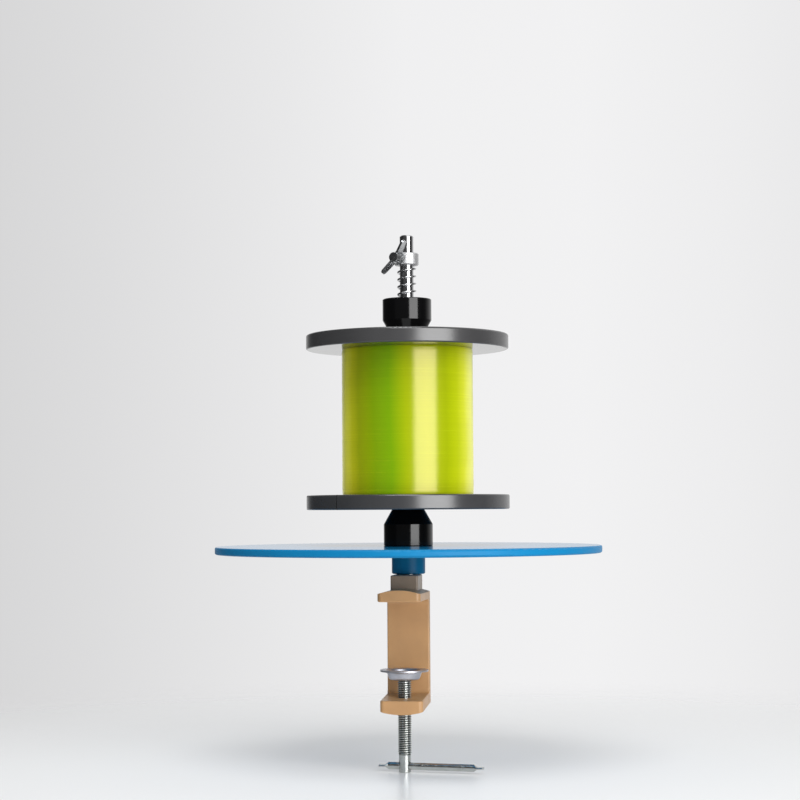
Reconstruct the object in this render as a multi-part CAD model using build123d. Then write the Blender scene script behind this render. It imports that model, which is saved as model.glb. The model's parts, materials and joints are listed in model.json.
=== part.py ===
from build123d import *
import os
from math import cos, radians, sin, tan

# A fishing line winder: a table clamp carries a steel spindle, and on it a turntable, a bulk spool
# of line between two cones, a pressure spring and a locking collar with a wing screw.
# Millimetres. The origin is where the clamp screw's axis meets the upper jaw's flat underside.
# +Z runs up the spindle, and the clamp opens towards -Y.

# Fits
RUNNING_CLEARANCE = 0.05    # radial, a shaft that turns or slides in its hole
SEAT_CLEARANCE = 0.02       # radial, a piece fixed in another one
FACE_GAP = 0.3              # between faces that turn past each other
SEAT_GAP = 0.15             # between the upper cone and the spool's edge

# Clamp frame: a C of crowned bar
JAW_OPENING = 54.6          # at the clamp screw's axis
BAR_WIDTH = 24.4
BAR_THICKNESS = 6.5
BAR_CROWN = 2.0             # how far the outer side stands proud in the middle
BAR_INNER_RADIUS = 3.0
BAR_OUTER_RADIUS = 5.0
BAR_EDGE_RADIUS = 0.8
NOSE_RADIUS = 2.5
UPPER_ARM_REACH = 38.0
LOWER_ARM_REACH = 30.0
LOWER_ARM_THICKNESS = 7.75  # thicker, for the clamp screw's thread
LOWER_ARM_CROWN = 1.65
LOWER_ARM_SLOPE = 4.0       # degrees down towards its nose
SCREW_REACH = 16.3          # from the spine's inner face to the clamp screw's axis

# Clamp screw, swivel pad and tommy bar
SCREW_DIAMETER = 7.9
SCREW_LENGTH = 52.0
SCREW_END_DIAMETER = 6.8
SCREW_END_LENGTH = 9.8
SCREW_NECK_DIAMETER = 5.2
RIVET_HEAD_DIAMETER = 7.2
RIVET_HEAD_HEIGHT = 1.4
PAD_DIAMETER = 27.4
PAD_BOWL_DIAMETER = 20.4
PAD_FLOOR_DIAMETER = 17.0
PAD_HEIGHT = 5.6
PAD_WALL = 1.0
PAD_BEND_RADIUS = 1.6       # outside, where the bowl's side meets its floor
PAD_LIFT = 10.0             # the pad's floor above the lower arm
PAD_WASHER_DIAMETER = 9.4
PAD_WASHER_THICKNESS = 0.8
TOMMY_DIAMETER = 4.2
TOMMY_LENGTH = 60.4
TOMMY_OFFSET = 15.4         # the bar's middle from the screw's axis
TOMMY_HEADING = -8.5        # degrees about Z
TOMMY_HOLE_EDGE = 3.6       # the cross hole's axis above the screw's end
TOMMY_BLADE_LENGTH = 3.5
TOMMY_BLADE_WIDTH = 5.6
TOMMY_BLADE_THICKNESS = 1.6
TOMMY_TAPER_LENGTH = 1.8

# Spindle block, its screw and the spindle's cross pin
BLOCK_WIDTH = 15.7
BLOCK_HEIGHT = 7.7          # above the upper arm's crown
BLOCK_SINK = 1.4            # let into the crown
BLOCK_FRONT = 19.2          # from the spindle's axis to the front face
BLOCK_EDGE_RADIUS = 1.0
BLOCK_SCREW_DIAMETER = 5.0
BLOCK_SCREW_HEAD_DIAMETER = 9.3
BLOCK_SCREW_HEAD_SINK = 0.2
BLOCK_SCREW_HEX = 3.0
BLOCK_SCREW_HEX_DEPTH = 1.8
BLOCK_SCREW_DISTANCE = 11.5
BLOCK_SCREW_GRIP = 6.6      # length of the screw inside the block
CROSS_PIN_DIAMETER = 3.0

# Spindle
SPINDLE_DIAMETER = 8.0
SPINDLE_ABOVE_COLLAR = 10.4
SPINDLE_CHAMFER = 0.6

# Ball bearings, two alike
BEARING_DIAMETER = 16.0
BEARING_WIDTH = 5.0
BEARING_RING = 1.2          # radial thickness of each ring
BALL_DIAMETER = 2.2
BALL_COUNT = 9
BALL_GAP = 0.15             # between a ball and its grooves or its cage pocket
CAGE_THICKNESS = 0.8
CAGE_WIDTH = 3.2

# Turntable
SLEEVE_DIAMETER = 10.2
HUB_DIAMETER = 19.3
HUB_HEIGHT = 11.8
HUB_EDGE = 0.6
BUSH_WALL = 1.4
BUSH_LENGTH = 9.0
SPIGOT_LENGTH = 5.3         # the hub's threaded spigot above the disc
RELIEF_DIAMETER = 14.0      # keeps what clamps an outer ring off the inner ring
RELIEF_DEPTH = 0.5
DISC_DIAMETER = 223.2
DISC_THICKNESS = 4.4
DISC_EDGE_RADIUS = 1.2

# Cones, two alike outside
CONE_DIAMETER = 28.5
CONE_SKIRT = 12.4
CONE_HALF_ANGLE = 28.8
CONE_NOSE_DEPTH = 4.5       # how far the nose enters the spool
CONE_EDGE = 0.4
CONE_BORE_GAP = 0.6         # radial, round the spindle
UPPER_BUSH_WALL = 1.2
UPPER_BUSH_LENGTH = 7.0

# Bulk spool of line
SPOOL_DIAMETER = 117.5
SPOOL_HEIGHT = 101.2
SPOOL_BORE = 19.2
CORE_WALL = 2.0
BARREL_DIAMETER = 60.0
BARREL_WALL = 2.0
BARREL_GROOVE = 2.5
FLANGE_THICKNESS = 8.5
FLANGE_EDGE_RADIUS = 1.0
RECESS_INNER_DIAMETER = 36.0
RECESS_OUTER_DIAMETER = 104.0
RECESS_DEPTH = 1.2
LINE_SLIT_WIDTH = 0.8
LINE_SLIT_DEPTH = 3.5
LINE_SLIT_ANGLE = 235.0     # degrees about Z
LINE_DIAMETER = 76.4

# Pressure spring and its washer
SPRING_DIAMETER = 11.2
SPRING_WIRE = 1.2
SPRING_PITCH = 4.3
SPRING_LENGTH = 19.8
SPRING_START = 8.0          # degrees about Z of the lower end
WASHER_DIAMETER = 12.4
WASHER_THICKNESS = 0.8

# Locking collar and wing screw
COLLAR_DIAMETER = 14.0
COLLAR_HEIGHT = 7.0
COLLAR_CHAMFER = 0.5
WING_SCREW_DIAMETER = 4.0
WING_HEADING = 246.0        # degrees about Z of the screw's head
WING_TURN = 40.0            # degrees of the wings from the vertical
WING_SPAN = 23.6
WING_THICKNESS = 1.4
WING_TIP_RADIUS = 2.0
WING_ROOT_RADIUS = 2.4
WING_FLARE = 2.6            # how far the tips lean away from the collar
WING_HUB_DIAMETER = 6.6
WING_HUB_LENGTH = 6.5
WING_FLANGE_DIAMETER = 8.4
WING_FLANGE_THICKNESS = 1.3
WING_HUB_CLEARANCE = 1.2    # from the collar's rim
TIP_LENGTH = 1.5            # the soft tip between the wing screw and the spindle
TIP_GAP = 0.1

# Places that follow from the sizes
spindle_radius = SPINDLE_DIAMETER / 2
spindle_y = SCREW_REACH + BAR_THICKNESS / 2
axis = Pos(0, spindle_y, 0)
bore_radius = spindle_radius + RUNNING_CLEARANCE
seat_z = BAR_THICKNESS - BLOCK_SINK
block_top = BAR_THICKNESS + BLOCK_HEIGHT
hub_bottom = block_top + FACE_GAP
disc_bottom = hub_bottom + HUB_HEIGHT
disc_top = disc_bottom + DISC_THICKNESS
lower_bearing_z = disc_top + SPIGOT_LENGTH
cone_radius = CONE_DIAMETER / 2
taper = tan(radians(CONE_HALF_ANGLE))
seat_height = (cone_radius - SPOOL_BORE / 2) / taper
spool_bottom = disc_top + CONE_SKIRT + seat_height
spool_top = spool_bottom + SPOOL_HEIGHT
cone_top = spool_top + SEAT_GAP + seat_height + CONE_SKIRT
upper_bearing_z = cone_top - WASHER_THICKNESS - BEARING_WIDTH
nose_z = seat_height + CONE_NOSE_DEPTH
nose_radius = SPOOL_BORE / 2 - CONE_NOSE_DEPTH * taper
collar_z = cone_top + SPRING_LENGTH
collar_middle = collar_z + COLLAR_HEIGHT / 2
spindle_top = collar_z + COLLAR_HEIGHT + SPINDLE_ABOVE_COLLAR
bearing_radius = BEARING_DIAMETER / 2
ball_circle = (spindle_radius + bearing_radius) / 2
pad_bottom = -JAW_OPENING + PAD_LIFT
screw_top = pad_bottom - SEAT_GAP
screw_bottom = screw_top - SCREW_LENGTH
tommy_z = screw_bottom + TOMMY_HOLE_EDGE


def turned(points):
    """A solid turned about the Z axis from its half outline of (radius, z) points."""
    outline = make_face(Polyline(*points, close=True))
    return revolve(Plane.XZ * outline, Axis.Z)


def ring(outer, inner, bottom, height):
    """A plain tube on the Z axis."""
    return Pos(0, 0, bottom) * extrude(Circle(outer) - Circle(inner), height)


def rod(radius, bottom, height):
    """A plain round bar on the Z axis."""
    return Pos(0, 0, bottom) * extrude(Circle(radius), height)


def crown_cutter(length, crown=BAR_CROWN):
    """What is cut from a bar's flat outer side, at z = 0, to leave it crowned along Y."""
    radius = (BAR_WIDTH ** 2 / 4 + crown ** 2) / (2 * crown)
    slab = Pos(0, 0, crown / 2) * Box(2 * BAR_WIDTH, length, 3 * crown)
    barrel = Pos(0, 0, -radius) * Rot(90, 0, 0) * Cylinder(radius, 2 * length)
    return slab - barrel


def near(value, *targets):
    """Whether a length is one of these, to a thousandth of a millimetre."""
    return any(abs(value - target) < 0.001 for target in targets)


def border(faces):
    """The edges that only one of these faces has."""
    edges = [e for f in faces for e in f.edges()]
    return [e for e in edges if sum(near((e.center() - other.center()).length, 0) for other in edges) == 1]


def lower_arm_top(y):
    return -JAW_OPENING + y * tan(radians(LOWER_ARM_SLOPE))


def clamp_frame():
    back = SCREW_REACH + BAR_THICKNESS
    upper_nose = SCREW_REACH - UPPER_ARM_REACH
    lower_nose = SCREW_REACH - LOWER_ARM_REACH
    bottom = -JAW_OPENING - LOWER_ARM_THICKNESS
    outline = [
        (upper_nose, 0), (upper_nose, BAR_THICKNESS), (back, BAR_THICKNESS),
        (back, lower_arm_top(back) - LOWER_ARM_THICKNESS),
        (lower_nose, lower_arm_top(lower_nose) - LOWER_ARM_THICKNESS),
        (lower_nose, lower_arm_top(lower_nose)), (SCREW_REACH, lower_arm_top(SCREW_REACH)), (SCREW_REACH, 0),
    ]
    profile = make_face(Polyline(*outline, close=True))
    profile = fillet([v for v in profile.vertices() if near(v.X, back)], BAR_OUTER_RADIUS)
    profile = fillet([v for v in profile.vertices() if near(v.X, SCREW_REACH)], BAR_INNER_RADIUS)
    frame = extrude(Plane.YZ * profile, BAR_WIDTH / 2, both=True)
    uprights = frame.edges().filter_by(Axis.Z)
    frame = fillet([e for e in uprights if near(e.center().Y, upper_nose, lower_nose)], NOSE_RADIUS)
    reach = 2 * (back - upper_nose)
    height = 2 * (BAR_THICKNESS - bottom)
    frame -= Pos(0, 0, BAR_THICKNESS) * crown_cutter(reach)
    frame -= Pos(0, 0, bottom) * Rot(180 + LOWER_ARM_SLOPE, 0, 0) * crown_cutter(reach, LOWER_ARM_CROWN)
    frame -= Pos(0, back, 0) * Rot(-90, 0, 0) * crown_cutter(height)
    centres = [(f, f.center()) for f in frame.faces()]
    inner = [f for f, c in centres if abs(c.X) < 1 and c.Y < back and -JAW_OPENING - 1 < c.Z < 0.1]
    frame = fillet(border(inner), BAR_EDGE_RADIUS)
    frame -= rod(SCREW_DIAMETER / 2 + RUNNING_CLEARANCE, bottom - 1, LOWER_ARM_THICKNESS + 2)
    slot_width = BLOCK_WIDTH + 2 * SEAT_CLEARANCE
    slot_front = spindle_y - BLOCK_FRONT - SEAT_CLEARANCE
    slot = Box(slot_width, reach, BAR_THICKNESS, align=(Align.CENTER, Align.MIN, Align.MIN))
    frame -= Pos(0, slot_front, seat_z) * slot
    return frame - block_screw_shape(SEAT_CLEARANCE, seat_z + 1)


def block_screw_shape(clearance, top):
    """The countersunk screw's outline, wider by clearance, from the jaw's face up to top."""
    head = BLOCK_SCREW_HEAD_DIAMETER / 2 + clearance
    shank = BLOCK_SCREW_DIAMETER / 2 + clearance
    bottom = BLOCK_SCREW_HEAD_SINK if clearance == 0 else 0
    outline = [(0, bottom), (head, bottom), (head, BLOCK_SCREW_HEAD_SINK),
               (shank, BLOCK_SCREW_HEAD_SINK + head - shank), (shank, top), (0, top)]
    if clearance == 0:
        outline.remove((head, BLOCK_SCREW_HEAD_SINK))
    return Pos(0, spindle_y - BLOCK_SCREW_DISTANCE, 0) * turned(outline)


def block_screw():
    screw = block_screw_shape(0, seat_z + BLOCK_SCREW_GRIP)
    socket = extrude(RegularPolygon(BLOCK_SCREW_HEX / 2, 6, major_radius=False), BLOCK_SCREW_HEX_DEPTH)
    return screw - Pos(0, spindle_y - BLOCK_SCREW_DISTANCE, BLOCK_SCREW_HEAD_SINK) * socket


def cross_pin(radius, length):
    height = (seat_z + block_top) / 2
    return Pos(0, spindle_y, height) * Rot(0, 90, 0) * Cylinder(radius, length)


def spindle_block():
    height = block_top - seat_z
    front = Pos(0, -BLOCK_FRONT / 2) * Rectangle(BLOCK_WIDTH, BLOCK_FRONT)
    block = extrude(front + Circle(BLOCK_WIDTH / 2), height)
    upright = block.edges().filter_by(Axis.Z).group_by(Axis.Y)[0]
    block = fillet(upright, BLOCK_EDGE_RADIUS)
    block = fillet(block.faces().sort_by(Axis.Z)[-1].edges(), BLOCK_EDGE_RADIUS * 0.8)
    block = Pos(0, spindle_y, seat_z) * block
    block -= axis * rod(spindle_radius + SEAT_CLEARANCE, seat_z - 1, height + 2)
    block -= block_screw_shape(SEAT_CLEARANCE, seat_z + BLOCK_SCREW_GRIP + FACE_GAP)
    return block - cross_pin(CROSS_PIN_DIAMETER / 2 + SEAT_CLEARANCE, 2 * BLOCK_WIDTH)


def spindle_pin():
    return cross_pin(CROSS_PIN_DIAMETER / 2, BLOCK_WIDTH - 2 * FACE_GAP)


def spindle():
    shaft = rod(spindle_radius, seat_z, spindle_top - seat_z)
    shaft = axis * chamfer(shaft.edges().sort_by(Axis.Z)[-1], SPINDLE_CHAMFER)
    return shaft - cross_pin(CROSS_PIN_DIAMETER / 2 + SEAT_CLEARANCE, 2 * BLOCK_WIDTH)


def spacer_sleeve():
    return axis * ring(SLEEVE_DIAMETER / 2, spindle_radius + SEAT_CLEARANCE, block_top,
                       lower_bearing_z - block_top)


def groove(bottom):
    """The ring-shaped space that a bearing's balls run in."""
    section = Pos(ball_circle, bottom + BEARING_WIDTH / 2) * Circle(BALL_DIAMETER / 2 + BALL_GAP)
    return revolve(Plane.XZ * section, Axis.Z)


def inner_ring(bottom, clearance):
    inside = spindle_radius + clearance
    return axis * (ring(spindle_radius + BEARING_RING, inside, bottom, BEARING_WIDTH) - groove(bottom))


def outer_ring(bottom):
    inside = bearing_radius - BEARING_RING
    return axis * (ring(bearing_radius, inside, bottom, BEARING_WIDTH) - groove(bottom))


def at_each_ball(bottom, piece):
    """Copies of a piece that is made at the origin, its X axis pointing away from the spindle."""
    middle = bottom + BEARING_WIDTH / 2
    angles = [360 * i / BALL_COUNT for i in range(BALL_COUNT)]
    return [Pos(0, spindle_y, middle) * Rot(0, 0, angle) * Pos(ball_circle, 0, 0) * piece for angle in angles]


def balls(bottom):
    return Compound(children=at_each_ball(bottom, Sphere(BALL_DIAMETER / 2)))


def cage(bottom):
    low = bottom + (BEARING_WIDTH - CAGE_WIDTH) / 2
    outer = ball_circle + CAGE_THICKNESS / 2
    band = axis * ring(outer, outer - CAGE_THICKNESS, low, CAGE_WIDTH)
    pocket = Rot(0, 90, 0) * Cylinder(BALL_DIAMETER / 2 + BALL_GAP, 4 * CAGE_THICKNESS)
    return band - at_each_ball(bottom, pocket)


def turntable_hub():
    bush_radius = SLEEVE_DIAMETER / 2 + RUNNING_CLEARANCE + BUSH_WALL + SEAT_CLEARANCE
    spigot = bearing_radius - SEAT_CLEARANCE
    clear = SLEEVE_DIAMETER / 2 + CONE_BORE_GAP
    relief = RELIEF_DIAMETER / 2
    bush_top = hub_bottom + FACE_GAP + BUSH_LENGTH
    outside = HUB_DIAMETER / 2
    return axis * turned([
        (bush_radius, hub_bottom), (outside - HUB_EDGE, hub_bottom), (outside, hub_bottom + HUB_EDGE),
        (outside, disc_bottom), (spigot, disc_bottom), (spigot, lower_bearing_z), (relief, lower_bearing_z),
        (relief, lower_bearing_z - RELIEF_DEPTH), (clear, lower_bearing_z - RELIEF_DEPTH),
        (clear, bush_top), (bush_radius, bush_top),
    ])


def hub_bush():
    inside = SLEEVE_DIAMETER / 2 + RUNNING_CLEARANCE
    return axis * ring(inside + BUSH_WALL, inside, hub_bottom + FACE_GAP, BUSH_LENGTH)


def turntable_disc():
    disc = rod(DISC_DIAMETER / 2, disc_bottom, DISC_THICKNESS)
    disc = fillet(disc.edges(), DISC_EDGE_RADIUS)
    return axis * (disc - rod(bearing_radius, disc_bottom - 1, DISC_THICKNESS + 2))


def cone_outline(inside):
    """A cone's half outline from its wide end at z = 0 to its nose, round the given inner points."""
    return inside + [
        (nose_radius - CONE_EDGE, CONE_SKIRT + nose_z), (nose_radius, CONE_SKIRT + nose_z - CONE_EDGE),
        (cone_radius, CONE_SKIRT), (cone_radius, CONE_EDGE), (cone_radius - CONE_EDGE, 0),
    ]


def lower_cone():
    pocket = bearing_radius + SEAT_CLEARANCE
    shoulder = SPIGOT_LENGTH + BEARING_WIDTH
    clear = spindle_radius + CONE_BORE_GAP
    relief = RELIEF_DIAMETER / 2
    inside = [
        (pocket, 0), (pocket, shoulder), (relief, shoulder), (relief, shoulder + RELIEF_DEPTH),
        (clear, shoulder + RELIEF_DEPTH), (clear, CONE_SKIRT + nose_z),
    ]
    return axis * Pos(0, 0, disc_top) * turned(cone_outline(inside))


def upper_cone():
    pocket = bearing_radius + SEAT_CLEARANCE
    shoulder = WASHER_THICKNESS + BEARING_WIDTH
    clear = spindle_radius + CONE_BORE_GAP
    relief = RELIEF_DIAMETER / 2
    bush_radius = bore_radius + UPPER_BUSH_WALL + SEAT_CLEARANCE
    bush_stop = CONE_SKIRT + nose_z - UPPER_BUSH_LENGTH
    inside = [
        (pocket, 0), (pocket, shoulder), (relief, shoulder), (relief, shoulder + RELIEF_DEPTH),
        (clear, shoulder + RELIEF_DEPTH), (clear, bush_stop), (bush_radius, bush_stop),
        (bush_radius, CONE_SKIRT + nose_z),
    ]
    return axis * Pos(0, 0, cone_top) * Rot(180, 0, 0) * turned(cone_outline(inside))


def upper_bush():
    bottom = cone_top - CONE_SKIRT - nose_z
    return axis * ring(bore_radius + UPPER_BUSH_WALL, bore_radius, bottom, UPPER_BUSH_LENGTH)


def spool_flange():
    """A flange with its outer face down on z = 0 and its inner face up."""
    outer = SPOOL_DIAMETER / 2
    disc = rod(outer, 0, FLANGE_THICKNESS)
    disc = fillet(disc.edges(), FLANGE_EDGE_RADIUS)
    disc -= rod(SPOOL_BORE / 2 + CORE_WALL + SEAT_CLEARANCE, -1, FLANGE_THICKNESS + 2)
    disc -= ring(RECESS_OUTER_DIAMETER / 2, RECESS_INNER_DIAMETER / 2, -1, RECESS_DEPTH + 1)
    barrel = BARREL_DIAMETER / 2
    disc -= ring(barrel + SEAT_CLEARANCE, barrel - BARREL_WALL - SEAT_CLEARANCE,
                 FLANGE_THICKNESS - BARREL_GROOVE, BARREL_GROOVE + 1)
    return disc


def line_slit():
    """The cut in a flange's edge that holds the line's loose end."""
    cut = Box(2 * LINE_SLIT_DEPTH, LINE_SLIT_WIDTH, 3 * FLANGE_THICKNESS)
    return Rot(0, 0, LINE_SLIT_ANGLE) * Pos(SPOOL_DIAMETER / 2, 0, 0) * cut


def spool_lower_flange():
    return axis * Pos(0, 0, spool_bottom) * (spool_flange() - line_slit())


def spool_upper_flange():
    return axis * Pos(0, 0, spool_top) * Rot(180, 0, 0) * spool_flange()


def spool_core():
    return axis * ring(SPOOL_BORE / 2 + CORE_WALL, SPOOL_BORE / 2, spool_bottom, SPOOL_HEIGHT)


def spool_barrel():
    barrel = BARREL_DIAMETER / 2
    inset = FLANGE_THICKNESS - BARREL_GROOVE
    return axis * ring(barrel, barrel - BARREL_WALL, spool_bottom + inset, SPOOL_HEIGHT - 2 * inset)


def line_winding():
    return axis * ring(LINE_DIAMETER / 2, BARREL_DIAMETER / 2 + SEAT_CLEARANCE,
                       spool_bottom + FLANGE_THICKNESS, SPOOL_HEIGHT - 2 * FLANGE_THICKNESS)


def spring_washer():
    return axis * ring(WASHER_DIAMETER / 2, bore_radius, cone_top - WASHER_THICKNESS, WASHER_THICKNESS)


def pressure_spring():
    radius = (SPRING_DIAMETER - SPRING_WIRE) / 2
    coil = Helix(SPRING_PITCH, SPRING_LENGTH - SPRING_WIRE, radius)
    wire = Plane(origin=coil @ 0, z_dir=coil % 0) * Circle(SPRING_WIRE / 2)
    spring = sweep(wire, path=coil, is_frenet=True)
    low = cone_top + SPRING_WIRE / 2
    keep = ring(SPRING_DIAMETER, 0.1, cone_top, SPRING_LENGTH)
    return axis * (Pos(0, 0, low) * Rot(0, 0, SPRING_START) * spring & keep)


def wing_plane():
    """Origin on the spindle's axis, Z out along the wing screw, X towards a wing's tip."""
    heading = radians(WING_HEADING)
    turn = radians(WING_TURN)
    out = Vector(cos(heading), sin(heading), 0)
    side = Vector(-out.Y, out.X, 0)
    tip = Vector(0, 0, 1) * cos(turn) + side * sin(turn)
    return Plane(origin=(0, spindle_y, collar_middle), x_dir=tip, z_dir=out)


def lock_collar():
    collar = ring(COLLAR_DIAMETER / 2, bore_radius, collar_z, COLLAR_HEIGHT)
    rims = [e for e in collar.edges().filter_by(GeomType.CIRCLE) if e.radius > COLLAR_DIAMETER / 2 - 0.1]
    collar = axis * chamfer(rims, COLLAR_CHAMFER)
    hole = rod(WING_SCREW_DIAMETER / 2 + RUNNING_CLEARANCE, 0, COLLAR_DIAMETER)
    return collar - wing_plane() * hole


def lock_tip():
    return wing_plane() * rod(WING_SCREW_DIAMETER / 2, spindle_radius + TIP_GAP, TIP_LENGTH)


def wing_screw():
    start = spindle_radius + TIP_GAP + TIP_LENGTH
    hub_start = COLLAR_DIAMETER / 2 + WING_HUB_CLEARANCE
    hub_radius = WING_HUB_DIAMETER / 2
    hub_end = hub_start + WING_HUB_LENGTH
    middle = hub_start + WING_HUB_LENGTH / 2
    flange = WING_FLANGE_DIAMETER / 2
    flange_end = hub_start + WING_FLANGE_THICKNESS
    body = turned([
        (0, start), (WING_SCREW_DIAMETER / 2, start), (WING_SCREW_DIAMETER / 2, hub_start),
        (flange, hub_start), (flange, flange_end), (hub_radius, flange_end), (hub_radius, middle),
        (hub_radius * 0.85, hub_end), (0, hub_end),
    ])
    root = Pos(hub_radius / 2, middle) * Circle(WING_ROOT_RADIUS)
    tip_x = WING_SPAN / 2 - WING_TIP_RADIUS
    tip = Pos(tip_x, middle + WING_FLARE) * Circle(WING_TIP_RADIUS)
    wing = make_hull((root + tip).edges())
    plate = extrude(Plane.XZ * wing, WING_THICKNESS / 2, both=True)
    return wing_plane() * (body + plate + plate.mirror(Plane.YZ))


def swivel_pad():
    top = pad_bottom + PAD_HEIGHT
    rim = top - PAD_WALL
    bowl = PAD_BOWL_DIAMETER / 2
    floor = PAD_FLOOR_DIAMETER / 2
    hole = SCREW_NECK_DIAMETER / 2 + RUNNING_CLEARANCE
    section = make_face(Polyline(
        (hole, pad_bottom), (floor, pad_bottom), (bowl, rim), (PAD_DIAMETER / 2, rim),
        (PAD_DIAMETER / 2, top), (bowl - PAD_WALL, top), (floor - PAD_WALL, pad_bottom + PAD_WALL),
        (hole, pad_bottom + PAD_WALL), close=True,
    ))
    section = fillet([v for v in section.vertices() if near(v.X, floor, bowl)], PAD_BEND_RADIUS)
    inside = [v for v in section.vertices() if near(v.X, floor - PAD_WALL, bowl - PAD_WALL)]
    section = fillet(inside, PAD_BEND_RADIUS / 2)
    return revolve(Plane.XZ * section, Axis.Z)


def pad_washer():
    return ring(PAD_WASHER_DIAMETER / 2, SCREW_NECK_DIAMETER / 2 + RUNNING_CLEARANCE,
                pad_bottom + PAD_WALL, PAD_WASHER_THICKNESS)


def tommy_place():
    """Z along the tommy bar, origin where it crosses the clamp screw."""
    return Pos(0, 0, tommy_z) * Rot(0, 0, TOMMY_HEADING) * Rot(0, 90, 0)


def clamp_screw():
    neck = SCREW_NECK_DIAMETER / 2
    head = RIVET_HEAD_DIAMETER / 2
    thread = SCREW_DIAMETER / 2
    end = SCREW_END_DIAMETER / 2
    head_z = pad_bottom + PAD_WALL + PAD_WASHER_THICKNESS + SEAT_GAP
    end_z = screw_bottom + SCREW_END_LENGTH
    chamfer_size = thread - end
    screw = turned([
        (0, screw_bottom), (end - CONE_EDGE, screw_bottom), (end, screw_bottom + CONE_EDGE), (end, end_z),
        (thread, end_z + chamfer_size), (thread, screw_top), (neck, screw_top), (neck, head_z),
        (head, head_z), (head, head_z + RIVET_HEAD_HEIGHT / 2), (neck, head_z + RIVET_HEAD_HEIGHT),
        (0, head_z + RIVET_HEAD_HEIGHT),
    ])
    return screw - tommy_place() * Cylinder(TOMMY_DIAMETER / 2 + RUNNING_CLEARANCE, 4 * SCREW_DIAMETER)


def tommy_bar():
    """A round bar whose two ends are pressed flat, so that it can't fall out."""
    half = TOMMY_LENGTH / 2
    shoulder = half - TOMMY_BLADE_LENGTH - TOMMY_TAPER_LENGTH
    blade = Ellipse(TOMMY_BLADE_THICKNESS / 2, TOMMY_BLADE_WIDTH / 2)
    round_end = Pos(0, 0, shoulder) * Circle(TOMMY_DIAMETER / 2)
    flat_start = Pos(0, 0, shoulder + TOMMY_TAPER_LENGTH) * blade
    end = loft([round_end, flat_start]) + extrude(flat_start, TOMMY_BLADE_LENGTH)
    bar = rod(TOMMY_DIAMETER / 2, -shoulder, 2 * shoulder) + end + end.mirror(Plane.XY)
    return tommy_place() * Pos(0, 0, TOMMY_OFFSET) * bar


parts = {
    "clamp_frame": clamp_frame(),
    "spindle_block": spindle_block(),
    "block_screw": block_screw(),
    "spindle_pin": spindle_pin(),
    "spindle": spindle(),
    "spacer_sleeve": spacer_sleeve(),
    "lower_bearing_inner_ring": inner_ring(lower_bearing_z, SEAT_CLEARANCE),
    "lower_bearing_outer_ring": outer_ring(lower_bearing_z),
    "lower_bearing_balls": balls(lower_bearing_z),
    "lower_bearing_cage": cage(lower_bearing_z),
    "turntable_hub": turntable_hub(),
    "hub_bush": hub_bush(),
    "turntable_disc": turntable_disc(),
    "lower_cone": lower_cone(),
    "spool_lower_flange": spool_lower_flange(),
    "spool_upper_flange": spool_upper_flange(),
    "spool_core": spool_core(),
    "spool_barrel": spool_barrel(),
    "line_winding": line_winding(),
    "upper_cone": upper_cone(),
    "upper_bush": upper_bush(),
    "upper_bearing_inner_ring": inner_ring(upper_bearing_z, RUNNING_CLEARANCE),
    "upper_bearing_outer_ring": outer_ring(upper_bearing_z),
    "upper_bearing_balls": balls(upper_bearing_z),
    "upper_bearing_cage": cage(upper_bearing_z),
    "spring_washer": spring_washer(),
    "pressure_spring": pressure_spring(),
    "lock_collar": lock_collar(),
    "lock_tip": lock_tip(),
    "wing_screw": wing_screw(),
    "swivel_pad": swivel_pad(),
    "pad_washer": pad_washer(),
    "clamp_screw": clamp_screw(),
    "tommy_bar": tommy_bar(),
}

os.makedirs("parts", exist_ok=True)
for name, solid in parts.items():
    export_step(solid, f"parts/{name}.step")
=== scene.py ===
import json
import math
import random

import bmesh
import bpy
from mathutils import Matrix, Vector


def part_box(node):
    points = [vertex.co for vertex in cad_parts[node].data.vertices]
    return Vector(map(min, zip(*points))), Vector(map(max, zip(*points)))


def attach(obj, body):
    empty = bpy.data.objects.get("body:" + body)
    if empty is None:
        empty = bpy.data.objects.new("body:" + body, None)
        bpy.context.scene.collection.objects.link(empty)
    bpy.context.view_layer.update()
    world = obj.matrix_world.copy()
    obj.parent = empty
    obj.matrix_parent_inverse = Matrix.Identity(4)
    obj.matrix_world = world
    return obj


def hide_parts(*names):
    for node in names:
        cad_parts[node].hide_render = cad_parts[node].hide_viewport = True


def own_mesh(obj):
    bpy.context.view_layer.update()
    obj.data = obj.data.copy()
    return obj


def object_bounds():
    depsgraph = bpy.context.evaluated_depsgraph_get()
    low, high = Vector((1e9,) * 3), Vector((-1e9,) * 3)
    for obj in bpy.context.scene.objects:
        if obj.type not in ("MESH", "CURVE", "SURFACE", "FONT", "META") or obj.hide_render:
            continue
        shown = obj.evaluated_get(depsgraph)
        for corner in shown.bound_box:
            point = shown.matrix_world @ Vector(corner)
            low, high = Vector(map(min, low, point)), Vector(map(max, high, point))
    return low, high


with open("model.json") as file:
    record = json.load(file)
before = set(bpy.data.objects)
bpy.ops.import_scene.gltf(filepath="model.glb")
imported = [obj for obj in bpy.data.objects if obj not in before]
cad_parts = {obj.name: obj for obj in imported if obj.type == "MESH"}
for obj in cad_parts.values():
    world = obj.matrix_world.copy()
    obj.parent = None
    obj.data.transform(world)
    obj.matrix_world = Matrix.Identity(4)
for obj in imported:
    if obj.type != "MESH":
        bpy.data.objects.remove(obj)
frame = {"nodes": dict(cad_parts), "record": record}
cad_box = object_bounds()
nodes = frame["nodes"]
scene = bpy.context.scene

# Places read from the frame, in metres
SPINDLE_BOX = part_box("spindle")
AXIS_Y = (SPINDLE_BOX[0].y + SPINDLE_BOX[1].y) / 2
AXIS = Vector((0, AXIS_Y, 0))
FLOOR_Z = cad_box[0][2]

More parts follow.
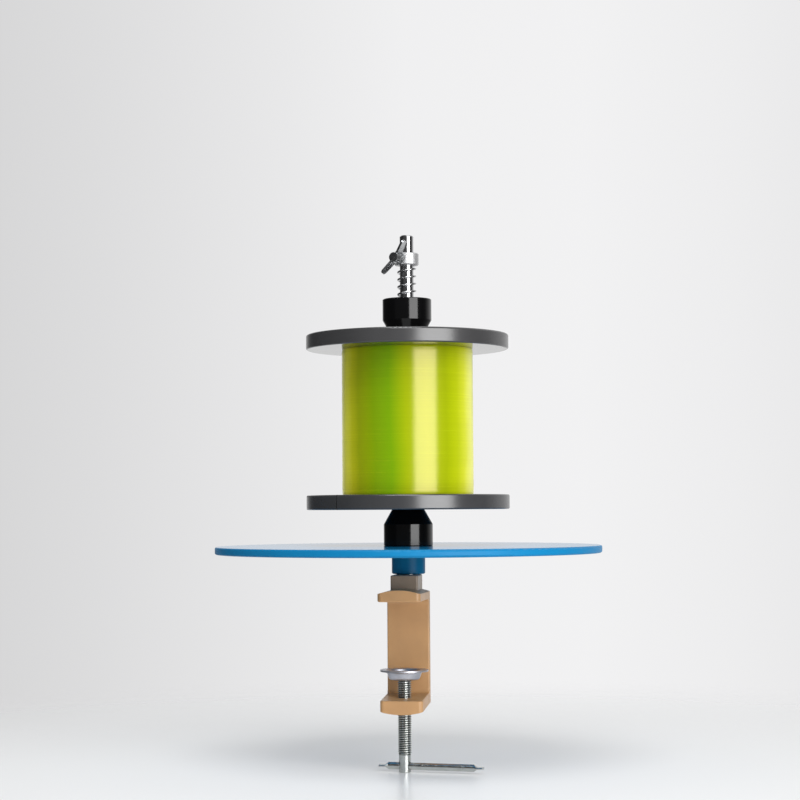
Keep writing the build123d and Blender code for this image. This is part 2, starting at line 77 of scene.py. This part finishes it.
# The photograph's view: azimuth from the clamp's open side, level and distance of the camera
VIEW_AZIMUTH = math.radians(8)
VIEW_DISTANCE = 1.160
VIEW_HEIGHT = 0.0525
VIEW_PITCH = math.radians(3.09)
VIEW_ROLL = math.radians(-0.35)
VIEW_YAW = math.radians(0.215)
FOCAL_PIXELS = 2000
PHOTO_PIXELS = 800
SENSOR_WIDTH = 36
TOWARDS_CAMERA = Vector((math.sin(VIEW_AZIMUTH), -math.cos(VIEW_AZIMUTH), 0))
RIGHT_OF_CAMERA = Vector((math.cos(VIEW_AZIMUTH), math.sin(VIEW_AZIMUTH), 0))

# Clamp screw, an M8: crest and root shares are of half a turn of thread
SCREW_PITCH = 0.00125
THREAD_DEPTH = 0.00058
THREAD_CREST = 0.00395
THREAD_CREST_SHARE = 0.26
THREAD_FLANK_SHARE = 0.58
SCREW_SMOOTH_LENGTH = 0.0098
SCREW_HEAD_HEIGHT = 0.0014
SCREW_END_TO_CREST = 6.8 / 7.9
SCREW_NECK_TO_CREST = 5.2 / 7.9
SCREW_HEAD_TO_CREST = 7.2 / 7.9
SCREW_TIP_CHAMFER = 0.0004
CROSS_HOLE_RADIUS = 0.00215

# Pressure spring
SPRING_WIRE = 0.0012
SPRING_PITCH = 0.0043
SPRING_START = math.radians(8)

# Wound line. Its painted light and shade are laid round the spool from this side, which is set by the
# camera's view
LINE_PAINTED_LIGHT_SIDE = Matrix.Rotation(math.radians(85), 3, "Z") @ TOWARDS_CAMERA
LINE_WAVE_SCALE = 119.0
LINE_WAVES = 14
LINE_SEED = 7

# Floor, from the object outwards
FLOOR_HALF = 3.0
FLOOR_FADE_START = 0.16
FLOOR_FADE_END = 0.62

# ---------------------------------------------------------------- materials

class Finish:
    """One procedural material: a Principled shader and helpers that feed its sockets."""

    def __init__(self, name, colour, roughness, metallic=0.0, **sockets):
        self.mat = bpy.data.materials.new(name)
        self.mat.use_nodes = True
        self.tree = self.mat.node_tree
        self.shader = self.tree.nodes["Principled BSDF"]
        self.colour = colour
        self.set("Base Color", (*colour, 1))
        self.set("Roughness", roughness)
        self.set("Metallic", metallic)
        for socket, value in sockets.items():
            self.set(socket.replace("_", " "), value)
        self.height = None

    def set(self, socket, value):
        self.shader.inputs[socket].default_value = value

    def node(self, kind, **values):
        made = self.tree.nodes.new(kind)
        for key, value in values.items():
            if key in made.inputs:
                made.inputs[key].default_value = value
            else:
                setattr(made, key, value)
        return made

    def link(self, out, into):
        self.tree.links.new(out, into)
        return into.node

    def place(self, stretch=(1, 1, 1)):
        """Object coordinates in metres, stretched."""
        coordinates = self.node("ShaderNodeTexCoord")
        mapping = self.node("ShaderNodeMapping")
        mapping.inputs["Scale"].default_value = stretch
        self.link(coordinates.outputs["Object"], mapping.inputs["Vector"])
        return mapping.outputs["Vector"]

    def noise(self, scale, detail=3.0, stretch=(1, 1, 1), rough=0.5):
        made = self.node("ShaderNodeTexNoise", Scale=scale, Detail=detail, Roughness=rough)
        self.link(self.place(stretch), made.inputs["Vector"])
        return made.outputs["Fac"]

    def ramp(self, value, stops, interpolation="LINEAR"):
        """stops are (position, colour or grey value)."""
        made = self.node("ShaderNodeValToRGB")
        made.color_ramp.interpolation = interpolation
        elements = made.color_ramp.elements
        while len(elements) < len(stops):
            elements.new(0.5)
        for element, (position, colour) in zip(elements, stops):
            element.position = position
            full = (colour,) * 3 if isinstance(colour, (int, float)) else colour
            element.color = (*full, 1)
        self.link(value, made.inputs["Fac"])
        return made.outputs["Color"]

    def mix(self, factor, first, second, blend="MIX"):
        """Mixes two colours; each may be a socket or a plain colour."""
        made = self.node("ShaderNodeMix", data_type="RGBA", blend_type=blend)
        for socket, value in ((made.inputs[0], factor), (made.inputs[6], first), (made.inputs[7], second)):
            if isinstance(value, bpy.types.NodeSocket):
                self.link(value, socket)
            elif isinstance(value, (int, float)):
                socket.default_value = value
            else:
                socket.default_value = (*value, 1)
        return made.outputs[2]

    def shaded(self, amount, scale, detail=4.0, stretch=(1, 1, 1)):
        """Varies the base colour by amount, up and down, in soft clouds."""
        low = tuple(c * (1 - amount) for c in self.colour)
        high = tuple(min(1, c * (1 + amount)) for c in self.colour)
        colour = self.ramp(self.noise(scale, detail, stretch), [(0.3, low), (0.7, high)])
        self.link(colour, self.shader.inputs["Base Color"])
        return self

    def varied_roughness(self, low, high, scale, stretch=(1, 1, 1)):
        value = self.ramp(self.noise(scale, 5.0, stretch), [(0.3, low), (0.7, high)])
        self.link(value, self.shader.inputs["Roughness"])
        return self

    def bump(self, value, distance, strength=1.0):
        """Adds a height map, stacking on what is there."""
        made = self.node("ShaderNodeBump", Strength=strength, Distance=distance)
        self.link(value, made.inputs["Height"])
        if self.height is not None:
            self.link(self.height, made.inputs["Normal"])
        self.height = made.outputs["Normal"]
        self.link(self.height, self.shader.inputs["Normal"])
        return self

    def by_level(self, socket, upright, level):
        """One value on upright faces and another on level ones."""
        turned = self.node("ShaderNodeSeparateXYZ")
        self.link(self.node("ShaderNodeNewGeometry").outputs["Normal"], turned.inputs[0])
        size = self.node("ShaderNodeMath", operation="ABSOLUTE")
        self.link(turned.outputs["Z"], size.inputs[0])
        value = self.ramp(size.outputs["Value"], [(0.75, upright), (0.97, level)])
        self.link(value, self.shader.inputs[socket])
        return self

    def near_axis(self, inner, outer):
        """White in the roots of a thread on the object's own Z axis, black on its crests."""
        level = self.node("ShaderNodeVectorMath", operation="LENGTH")
        self.link(self.place((1, 1, 0)), level.inputs[0])
        share = self.node("ShaderNodeMapRange")
        share.inputs["From Min"].default_value = inner
        share.inputs["From Max"].default_value = outer
        self.link(level.outputs["Value"], share.inputs["Value"])
        foot = self.node("ShaderNodeMath", operation="SUBTRACT")
        foot.inputs[0].default_value = 1.0
        self.link(share.outputs["Result"], foot.inputs[1])
        return foot.outputs["Value"]

    def base_socket(self):
        """What feeds the base colour now, as a socket or a plain colour."""
        links = self.shader.inputs["Base Color"].links
        return links[0].from_socket if links else self.colour

    def over(self, mask, colour):
        """Lays a colour over the base where the mask is white."""
        mixed = self.mix(mask, self.base_socket(), colour)
        self.link(mixed, self.shader.inputs["Base Color"])
        return self


def make_finishes():
    made = {}
    paint = Finish("tan_enamel", (0.50, 0.275, 0.118), 0.40, Coat_Weight=0.2, Coat_Roughness=0.25)
    paint.shaded(0.08, 60).varied_roughness(0.36, 0.50, 300)
    paint.bump(paint.noise(700, 2.0), 0.00005, 0.5).bump(paint.noise(5200, 2.0), 0.00001, 0.4)
    made["clamp_paint"] = paint

    block = Finish("grey_brown_enamel", (0.26, 0.19, 0.135), 0.38, Coat_Weight=0.2, Coat_Roughness=0.3)
    block.shaded(0.12, 90).varied_roughness(0.34, 0.5, 400)
    block.bump(block.noise(1100, 2.0), 0.00006, 0.5)
    made["block_paint"] = block

    spindle = Finish("ground_steel", (0.62, 0.62, 0.63), 0.13, 1.0)
    spindle.varied_roughness(0.10, 0.17, 900, (1, 1, 0.25))
    spindle.bump(spindle.noise(60, 2.0, (1, 1, 220)), 0.000003, 0.3)
    made["spindle_steel"] = spindle

    collar = Finish("bright_zinc", (0.69, 0.69, 0.70), 0.52, 1.0)
    collar.shaded(0.05, 500).varied_roughness(0.46, 0.58, 700)
    collar.bump(collar.noise(2500, 3.0), 0.000012, 0.5)
    made["collar_zinc"] = collar

    wing = Finish("cast_zinc", (0.60, 0.61, 0.62), 0.20, 1.0)
    wing.shaded(0.15, 400).varied_roughness(0.15, 0.30, 600)
    wing.bump(wing.noise(700, 3.0), 0.00008, 0.5)
    made["wing_zinc"] = wing

    zinc = Finish("plated_fastener", (0.62, 0.63, 0.65), 0.3, 1.0)
    zinc.shaded(0.1, 600).varied_roughness(0.24, 0.4, 800)
    made["zinc_screw"] = zinc

    spring = Finish("spring_wire", (0.66, 0.66, 0.67), 0.22, 1.0)
    spring.shaded(0.1, 900).varied_roughness(0.16, 0.3, 1500)
    made["spring_steel"] = spring

    screw = Finish("rolled_thread_steel", (0.60, 0.62, 0.60), 0.20, 1.0)
    screw.shaded(0.12, 260).varied_roughness(0.15, 0.28, 500)
    screw.bump(screw.noise(900, 3.0), 0.000008, 0.4)
    made["screw_steel"] = screw

    thread = Finish("thread_painted_root_shade", (0.60, 0.62, 0.60), 0.20, 1.0)
    thread.shaded(0.12, 260).varied_roughness(0.15, 0.28, 500)
    # The thread's roots are painted darker than its crests: painted shade in the hollows of the thread
    roots = thread.near_axis(THREAD_CREST - THREAD_DEPTH * 0.75, THREAD_CREST - THREAD_DEPTH * 0.15)
    thread.over(roots, (0.22, 0.23, 0.22))
    made["thread_steel"] = thread

    pad = Finish("pressed_steel", (0.56, 0.56, 0.60), 0.30, 1.0)
    pad.shaded(0.12, 180).varied_roughness(0.34, 0.48, 350)
    pad.bump(pad.noise(1400, 3.0), 0.00002, 0.4)
    made["pad_steel"] = pad

    cone = Finish("black_acetal", (0.0022, 0.0022, 0.0024), 0.12, IOR=1.5)
    cone.varied_roughness(0.09, 0.15, 250)
    cone.bump(cone.noise(40, 2.0, (1, 1, 90)), 0.000005, 0.3)
    made["cone_black"] = cone

    spool = Finish("moulded_grey", (0.043, 0.042, 0.043), 0.25, Specular_IOR_Level=1.0)
    spool.shaded(0.14, 40)
    spool.by_level("Roughness", 0.25, 0.09)
    scuff = spool.ramp(spool.noise(900, 6.0, (1, 1, 3), 0.7), [(0.62, 0.0), (0.74, 0.14)])
    spool.over(scuff, (0.30, 0.30, 0.31))
    spool.bump(spool.noise(3000, 2.0), 0.00001, 0.5)
    made["spool_grey"] = spool

    disc = Finish("blue_moulding", (0.001, 0.168, 0.37), 0.16, IOR=1.49)
    disc.shaded(0.05, 18)
    disc.by_level("Roughness", 0.44, 0.15).by_level("Specular IOR Level", 0.22, 0.5)
    disc.bump(disc.noise(700, 2.0), 0.000008, 0.4)
    made["disc_blue"] = disc

    # The hub has the disc's blue made darker: painted shade from the disc above it
    hub = Finish("blue_hub_painted_shade", (0.001, 0.105, 0.22), 0.36, Specular_IOR_Level=0.12)
    hub.shaded(0.08, 60).varied_roughness(0.32, 0.42, 200)
    made["hub_blue"] = hub

    made["line_yellow_green"] = wound_line()

    brass = Finish("turned_brass", (0.70, 0.50, 0.22), 0.25, 1.0)
    brass.shaded(0.08, 500)
    made["bush_brass"] = brass
    made["cage_brass"] = brass

    bearing = Finish("bearing_steel", (0.64, 0.64, 0.65), 0.12, 1.0)
    bearing.varied_roughness(0.08, 0.16, 900)
    made["bearing_steel"] = bearing

    sleeve = Finish("turned_aluminium", (0.75, 0.76, 0.78), 0.25, 1.0)
    sleeve.bump(sleeve.noise(40, 2.0, (1, 1, 150)), 0.00001, 0.4)
    made["sleeve_aluminium"] = sleeve
    return made


def wound_line():
    """Fluorescent monofilament in its own yellow-green, with painted light and shade laid round the spool:
    a painted glow along one side, darker green next to it, and brighter yellow on the other side.
    """
    line = Finish("wound_line", (0.60, 0.66, 0.001), 0.15, Specular_Tint=(1.0, 0.80, 0.52, 1), IOR=1.8,
                  Sheen_Weight=0.85, Sheen_Roughness=0.32, Sheen_Tint=(1.0, 0.97, 0.22, 1))
    place = line.node("ShaderNodeTexCoord").outputs["Object"]
    offset = line.node("ShaderNodeVectorMath", operation="SUBTRACT")
    offset.inputs[1].default_value = AXIS
    line.link(place, offset.inputs[0])
    level = line.node("ShaderNodeVectorMath", operation="MULTIPLY")
    level.inputs[1].default_value = (1, 1, 0)
    line.link(offset.outputs["Vector"], level.inputs[0])
    outward = line.node("ShaderNodeVectorMath", operation="NORMALIZE")
    line.link(level.outputs["Vector"], outward.inputs[0])
    facing = line.node("ShaderNodeVectorMath", operation="DOT_PRODUCT")
    facing.inputs[1].default_value = LINE_PAINTED_LIGHT_SIDE
    line.link(outward.outputs["Vector"], facing.inputs[0])
    wander = line.noise(14, 3.0, (1, 1, 1.3))
    shifted = line.node("ShaderNodeMath", operation="MULTIPLY_ADD")
    shifted.inputs[1].default_value = 0.16
    line.link(wander, shifted.inputs[0])
    line.link(facing.outputs["Value"], shifted.inputs[2])
    share = line.node("ShaderNodeMapRange")
    share.inputs["From Min"].default_value = -0.92
    share.inputs["From Max"].default_value = 1.08
    line.link(shifted.outputs["Value"], share.inputs["Value"])
    # Painted light and shade round the spool: a painted glow at both ends of the ramp, darker green across
    # the middle, brighter again towards the light side
    colour = line.ramp(share.outputs["Result"], [
        (0.0, (1.0, 0.98, 0.10)), (0.06, (1.0, 0.96, 0.06)), (0.11, (0.62, 0.62, 0.004)),
        (0.165, (0.34, 0.40, 0.0006)), (0.29, (0.20, 0.34, 0.0004)), (0.41, (0.17, 0.34, 0.0004)),
        (0.53, (0.32, 0.40, 0.0005)), (0.68, (0.38, 0.42, 0.0006)), (0.82, (0.32, 0.39, 0.0008)),
        (0.90, (0.44, 0.51, 0.001)), (0.95, (0.62, 0.66, 0.004)), (0.99, (0.86, 0.88, 0.10)),
    ])
    turns = line.noise(22, 4.0, (0.15, 0.15, 60))
    shade = line.ramp(turns, [(0.25, 0.86), (0.75, 1.0)])
    line.link(line.mix(1.0, colour, shade, "MULTIPLY"), line.shader.inputs["Base Color"])
    wave = line.node("ShaderNodeTexWave", wave_type="BANDS", bands_direction="Z", Scale=LINE_WAVE_SCALE,
                     Distortion=0.6, Detail=2.0)
    wave.inputs["Detail Scale"].default_value = 0.5
    line.link(line.place(), wave.inputs["Vector"])
    line.bump(wave.outputs["Fac"], 0.00005, 0.35)
    line.bump(line.noise(30, 3.0, (0.1, 0.1, 130)), 0.00006, 0.5)
    crossing = line.ramp(line.noise(20, 6.0, (0.5, 0.5, 46), 0.75), [(0.60, 0.0), (0.70, 0.30)])
    line.over(crossing, (0.62, 0.66, 0.02))
    return line


finishes = make_finishes()
node_slot = {row["node"]: row["material_slot"] for row in frame["record"]["subparts"]}


def finish_of(piece, slot):
    piece.data.materials.clear()
    piece.data.materials.append(finishes[slot].mat)


for node_name, node in nodes.items():
    finish_of(node, node_slot[node_name])
finish_of(nodes["wing_screw"], "wing_zinc")


# ------------------------------------------------------------------- pieces

def body_of_node(node_name):
    bodies = frame["record"]["behaviour"]["bodies"]
    return next(body for body, members in bodies.items() if node_name in members)


def dress(piece, node_name):
    """Gives a new piece the node's material and body, and hides the node's CAD part."""
    finish_of(piece, node_slot[node_name])
    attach(piece, body_of_node(node_name))
    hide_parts(node_name)


def new_piece(name, mesh):
    piece = bpy.data.objects.new(name, mesh)
    scene.collection.objects.link(piece)
    return piece


def grid_mesh(name, rows, closed_rows=False):
    """A smooth surface through rows of points; each row is a closed ring of equal length."""
    count = len(rows[0])
    points = [tuple(p) for row in rows for p in row]
    last = len(rows) if closed_rows else len(rows) - 1
    faces = [
        (i * count + j, i * count + (j + 1) % count,
         (i + 1) % len(rows) * count + (j + 1) % count, (i + 1) % len(rows) * count + j)
        for i in range(last) for j in range(count)
    ]
    if not closed_rows:
        faces.append(tuple(reversed(range(count))))
        faces.append(tuple((len(rows) - 1) * count + j for j in range(count)))
    mesh = bpy.data.meshes.new(name)
    mesh.from_pydata(points, [], faces)
    mesh.polygons.foreach_set("use_smooth", [True] * len(mesh.polygons))
    return mesh


def thread_radius(turn, crest, depth):
    """Radius of the thread at a share of one turn, with straight flanks and a flat crest and root."""
    flank = abs((turn % 1.0) - 0.5) * 2
    return crest - depth * min(1.0, max(0.0, 1 - flank - THREAD_CREST_SHARE) / THREAD_FLANK_SHARE)


def threaded_screw():
    """The clamp screw with its rolled thread, from the smooth end up to the riveted head."""
    low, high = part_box("clamp_screw")
    crest = (high.x - low.x) / 2
    end_radius = crest * SCREW_END_TO_CREST
    thread_start = low.z + SCREW_SMOOTH_LENGTH
    thread_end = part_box("swivel_pad")[0].z - 0.00015
    neck = crest * SCREW_NECK_TO_CREST
    head = crest * SCREW_HEAD_TO_CREST
    head_z = high.z - SCREW_HEAD_HEIGHT
    outline = [(SCREW_TIP_CHAMFER, low.z), (end_radius - SCREW_TIP_CHAMFER, low.z),
               (end_radius, low.z + SCREW_TIP_CHAMFER), (end_radius, low.z + 0.002),
               (end_radius, thread_start - 0.001)]
    rows_per_turn = 12
    steps = round((thread_end - thread_start) / SCREW_PITCH * rows_per_turn)
    around_count = 56
    rows = []

    def circle(radius, z):
        return [(radius * math.cos(a), radius * math.sin(a), z)
                for a in (2 * math.pi * j / around_count for j in range(around_count))]

    rows += [circle(r, z) for r, z in outline]
    for i in range(steps + 1):
        z = thread_start + (thread_end - thread_start) * i / steps
        fade = min(1.0, (z - thread_start) / (1.2 * SCREW_PITCH), (thread_end - z) / (0.6 * SCREW_PITCH))
        row = []
        for j in range(around_count):
            share = j / around_count
            radius = thread_radius((z - thread_start) / SCREW_PITCH - share, crest, THREAD_DEPTH)
            radius = end_radius + (radius - end_radius) * max(0.0, fade)
            angle = 2 * math.pi * share
            row.append((radius * math.cos(angle), radius * math.sin(angle), z))
        rows.append(row)
    rows += [circle(neck, thread_end), circle(neck, head_z), circle(head, head_z),
             circle(head, head_z + SCREW_HEAD_HEIGHT / 2), circle(neck, high.z),
             circle(SCREW_TIP_CHAMFER, high.z)]
    piece = new_piece("clamp_screw_threaded", grid_mesh("clamp_screw_threaded", rows))
    bar_low, bar_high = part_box("tommy_bar")
    along = Vector((bar_high.x - bar_low.x, bar_low.y - bar_high.y, 0)).normalized()
    bar_z = (bar_low.z + bar_high.z) / 2
    cutter_mesh = bpy.data.meshes.new("cross_hole")
    shape = bmesh.new()
    bmesh.ops.create_cone(shape, cap_ends=True, segments=32, radius1=CROSS_HOLE_RADIUS,
                          radius2=CROSS_HOLE_RADIUS, depth=0.02)
    shape.to_mesh(cutter_mesh)
    shape.free()
    cutter = new_piece("cross_hole", cutter_mesh)
    cutter.location = (0, 0, bar_z)
    cutter.rotation_euler = along.to_track_quat("Z", "Y").to_euler()
    cut = piece.modifiers.new("cross_hole", "BOOLEAN")
    cut.object = cutter
    cut.solver = "EXACT"
    bpy.context.view_layer.update()
    evaluated = piece.evaluated_get(bpy.context.evaluated_depsgraph_get())
    mesh = bpy.data.meshes.new_from_object(evaluated)
    piece.modifiers.clear()
    piece.data = mesh
    bpy.data.objects.remove(cutter)
    mesh.set_sharp_from_angle(angle=math.radians(38))
    dress(piece, "clamp_screw")
    mesh.materials.append(finishes["thread_steel"].mat)
    for face in mesh.polygons:
        if thread_start < face.center.z < thread_end:
            face.material_index = 1


def coil_spring():
    """The pressure spring as a smooth round wire with cut ends."""
    low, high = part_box("pressure_spring")
    wire = SPRING_WIRE
    radius = (high.x - low.x) / 2 - wire / 2
    length = high.z - low.z
    rise = length - wire
    turns = rise / SPRING_PITCH
    slope = rise / (2 * math.pi * turns * radius)
    steps = round(turns * 48)
    ring_count = 16
    rows = []
    for i in range(steps + 1):
        angle = SPRING_START + 2 * math.pi * turns * i / steps
        out = Vector((math.cos(angle), math.sin(angle), 0))
        centre = Vector((0, AXIS_Y, low.z + wire / 2 + rise * i / steps)) + out * radius
        along = Vector((-math.sin(angle), math.cos(angle), slope)).normalized()
        up = along.cross(out).normalized()
        rows.append([
            tuple(centre + (out * math.cos(a) + up * math.sin(a)) * wire / 2)
            for a in (2 * math.pi * j / ring_count for j in range(ring_count))
        ])
    mesh = grid_mesh("pressure_spring_coil", rows)
    mesh.set_sharp_from_angle(angle=math.radians(60))
    piece = new_piece("pressure_spring_coil", mesh)
    dress(piece, "pressure_spring")
    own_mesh(piece)


def line_on_spool():
    """The wound line: level from flange to flange, with the slow unevenness of a machine winding."""
    low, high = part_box("line_winding")
    radius = (high.x - low.x) / 2
    inner = (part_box("spool_barrel")[1].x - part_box("spool_barrel")[0].x) / 2 + 0.00002
    height = high.z - low.z
    count = 160
    levels = 220
    chance = random.Random(LINE_SEED)
    waves = [(chance.uniform(2, 26), chance.uniform(0, 6.28), chance.randint(0, 3), chance.uniform(0, 6.28))
             for _ in range(LINE_WAVES)]

    def sunk(share, angle):
        """How far below the CAD surface, in metres."""
        value = sum(math.sin(n * share * 6.28 + p + 0.5 * math.sin(k * angle + q)) / (4 + n)
                    for n, p, k, q in waves)
        edge = math.exp(-share * height / 0.0006) + math.exp(-(1 - share) * height / 0.0006)
        return 0.00010 + 0.00009 * (value + 0.5) + 0.0004 * edge

    def at(angle, r, z):
        return (r * math.cos(angle), AXIS_Y + r * math.sin(angle), z)

    angles = [2 * math.pi * j / count for j in range(count)]
    rows = []
    for i in range(levels + 1):
        share = i / levels
        z = low.z + height * share
        rows.append([at(angle, radius - max(0.0, sunk(share, angle)), z) for angle in angles])
    for z in (high.z, low.z):
        rows.append([at(angle, inner, z) for angle in angles])
    mesh = grid_mesh("wound_line_surface", rows, closed_rows=True)
    mesh.set_sharp_from_angle(angle=math.radians(60))
    piece = new_piece("wound_line_surface", mesh)
    dress(piece, "line_winding")


threaded_screw()
coil_spring()
line_on_spool()

scene.view_settings.view_transform = "Standard"


# ---------------------------------------------------------- camera and stage

def add_camera():
    data = bpy.data.cameras.new("photo_view")
    camera = bpy.data.objects.new("photo_view", data)
    scene.collection.objects.link(camera)
    data.sensor_width = SENSOR_WIDTH
    data.lens = SENSOR_WIDTH * FOCAL_PIXELS / PHOTO_PIXELS
    data.clip_start = 0.05
    camera.location = AXIS + TOWARDS_CAMERA * VIEW_DISTANCE + Vector((0, 0, VIEW_HEIGHT))
    turn = Matrix.Rotation(VIEW_AZIMUTH + VIEW_YAW, 3, "Z")
    tilt = Matrix.Rotation(math.radians(90) + VIEW_PITCH, 3, "X")
    roll = Matrix.Rotation(VIEW_ROLL, 3, "Z")
    camera.rotation_euler = (turn @ tilt @ roll).to_euler()
    scene.camera = camera


def add_light(name, direction, distance, size, energy, colour=(1, 1, 1)):
    """A soft box that looks at the spool from a direction, with size (width, height)."""
    data = bpy.data.lights.new(name, "AREA")
    data.shape = "RECTANGLE"
    data.size, data.size_y = size
    data.energy = energy
    data.color = colour
    light = bpy.data.objects.new(name, data)
    scene.collection.objects.link(light)
    target = AXIS + Vector((0, 0, 0.08))
    light.location = target + Vector(direction).normalized() * distance
    light.rotation_euler = (target - light.location).to_track_quat("-Z", "Y").to_euler()
    return light


def around(degrees_right, height=0.0):
    """A direction that many degrees to the right of the camera, seen from the object."""
    angle = math.radians(degrees_right)
    level = TOWARDS_CAMERA * math.cos(angle) + RIGHT_OF_CAMERA * math.sin(angle)
    return level + Vector((0, 0, height))


def add_world():
    world = bpy.data.worlds.new("studio")
    scene.world = world
    world.use_nodes = True
    tree = world.node_tree
    tree.nodes.clear()
    out = tree.nodes.new("ShaderNodeOutputWorld")
    light_path = tree.nodes.new("ShaderNodeLightPath")
    coordinates = tree.nodes.new("ShaderNodeTexCoord")

    def background(colour, strength):
        made = tree.nodes.new("ShaderNodeBackground")
        made.inputs["Color"].default_value = (*colour, 1)
        made.inputs["Strength"].default_value = strength
        return made

    def along(direction):
        made = tree.nodes.new("ShaderNodeVectorMath")
        made.operation = "DOT_PRODUCT"
        made.inputs[1].default_value = direction
        tree.links.new(coordinates.outputs["Generated"], made.inputs[0])
        return made.outputs["Value"]

    heading = tree.nodes.new("ShaderNodeMath")
    heading.operation = "ARCTAN2"
    tree.links.new(along(RIGHT_OF_CAMERA), heading.inputs[0])
    tree.links.new(along(TOWARDS_CAMERA), heading.inputs[1])
    remap = tree.nodes.new("ShaderNodeMapRange")
    remap.inputs["From Min"].default_value = -math.pi
    remap.inputs["From Max"].default_value = math.pi
    tree.links.new(heading.outputs["Value"], remap.inputs["Value"])
    ramp = tree.nodes.new("ShaderNodeValToRGB")
    tree.links.new(remap.outputs["Result"], ramp.inputs["Fac"])
    # degrees to the right of the photograph's view, and how bright mirror-like rays find it there
    surroundings = [(-180, 0.92), (-165, 0.86), (-154, 0.36), (-144, 0.09), (-134, 0.035), (-62, 0.03),
                    (-54, 0.075), (12, 0.075), (58, 0.06), (78, 0.03), (96, 0.08), (110, 0.34), (126, 0.62),
                    (150, 0.82), (180, 0.92)]
    elements = ramp.color_ramp.elements
    while len(elements) < len(surroundings):
        elements.new(0.5)
    for element, (degrees, value) in zip(elements, surroundings):
        element.position = (degrees + 180) / 360
        element.color = (value, value, value, 1)
    mirror = background((1, 1, 1), 1.0)
    tree.links.new(ramp.outputs["Color"], mirror.inputs["Color"])
    plain = background((0.93, 0.97, 1.0), 0.42)
    seen = background((1, 1, 1), 1.0)
    spread = tree.nodes.new("ShaderNodeMapRange")
    spread.inputs["From Min"].default_value = -0.2
    spread.inputs["From Max"].default_value = 0.2
    tree.links.new(along(RIGHT_OF_CAMERA), spread.inputs["Value"])
    paleness = tree.nodes.new("ShaderNodeValToRGB")
    elements = paleness.color_ramp.elements
    # share of the way from left to right, and how pale the backdrop is there
    pale_stops = [(0.0, 0.68), (0.12, 0.72), (0.30, 0.79), (0.50, 0.872), (0.72, 0.885), (0.90, 0.85),
                  (1.0, 0.82)]
    while len(elements) < len(pale_stops):
        elements.new(0.5)
    for element, (position, value) in zip(elements, pale_stops):
        element.position = position
        element.color = (value, value * 0.998, value * 1.006, 1)
    tree.links.new(spread.outputs["Result"], paleness.inputs["Fac"])
    tree.links.new(paleness.outputs["Color"], seen.inputs["Color"])

    def choose(factor, first, second):
        mixed = tree.nodes.new("ShaderNodeMixShader")
        tree.links.new(factor, mixed.inputs[0])
        tree.links.new(first.outputs[0], mixed.inputs[1])
        tree.links.new(second.outputs[0], mixed.inputs[2])
        return mixed

    lit = choose(light_path.outputs["Is Glossy Ray"], plain, mirror)
    shown = choose(light_path.outputs["Is Camera Ray"], lit, seen)
    tree.links.new(shown.outputs[0], out.inputs["Surface"])


def add_floor():
    """A pale table top under the object, which fades into the backdrop at its rim."""
    mesh = bpy.data.meshes.new("floor")
    half = FLOOR_HALF
    corners = [(-half, -half), (half, -half), (half, half), (-half, half)]
    mesh.from_pydata([(x, y, FLOOR_Z) for x, y in corners], [], [(0, 1, 2, 3)])
    floor = new_piece("floor", mesh)
    surface = Finish("floor_paper", (0.76, 0.757, 0.755), 0.28, Specular_IOR_Level=0.3,
                     Emission_Color=(1, 1, 1, 1), Emission_Strength=0.05)
    mesh.materials.append(surface.mat)
    coordinates = surface.node("ShaderNodeTexCoord")
    flat = surface.node("ShaderNodeVectorMath", operation="MULTIPLY")
    flat.inputs[1].default_value = (1, 1, 0)
    length = surface.node("ShaderNodeVectorMath", operation="LENGTH")
    surface.link(coordinates.outputs["Object"], flat.inputs[0])
    surface.link(flat.outputs["Vector"], length.inputs[0])
    fade = surface.node("ShaderNodeMapRange", interpolation_type="SMOOTHSTEP")
    fade.inputs["From Min"].default_value = FLOOR_FADE_START
    fade.inputs["From Max"].default_value = FLOOR_FADE_END
    surface.link(length.outputs["Value"], fade.inputs["Value"])
    clear = surface.node("ShaderNodeBsdfTransparent")
    mixed = surface.node("ShaderNodeMixShader")
    surface.link(fade.outputs["Result"], mixed.inputs[0])
    surface.link(surface.shader.outputs[0], mixed.inputs[1])
    surface.link(clear.outputs[0], mixed.inputs[2])
    surface.link(mixed.outputs[0], surface.tree.nodes["Material Output"].inputs["Surface"])


add_camera()
add_world()
add_light("side_box", around(31, 0.10), distance=1.6, size=(1.15, 1.9), energy=34)
add_light("front_top_box", around(-5, 1.45), distance=1.6, size=(0.95, 0.95), energy=15.5,
          colour=(0.97, 0.99, 1.0))
add_floor()
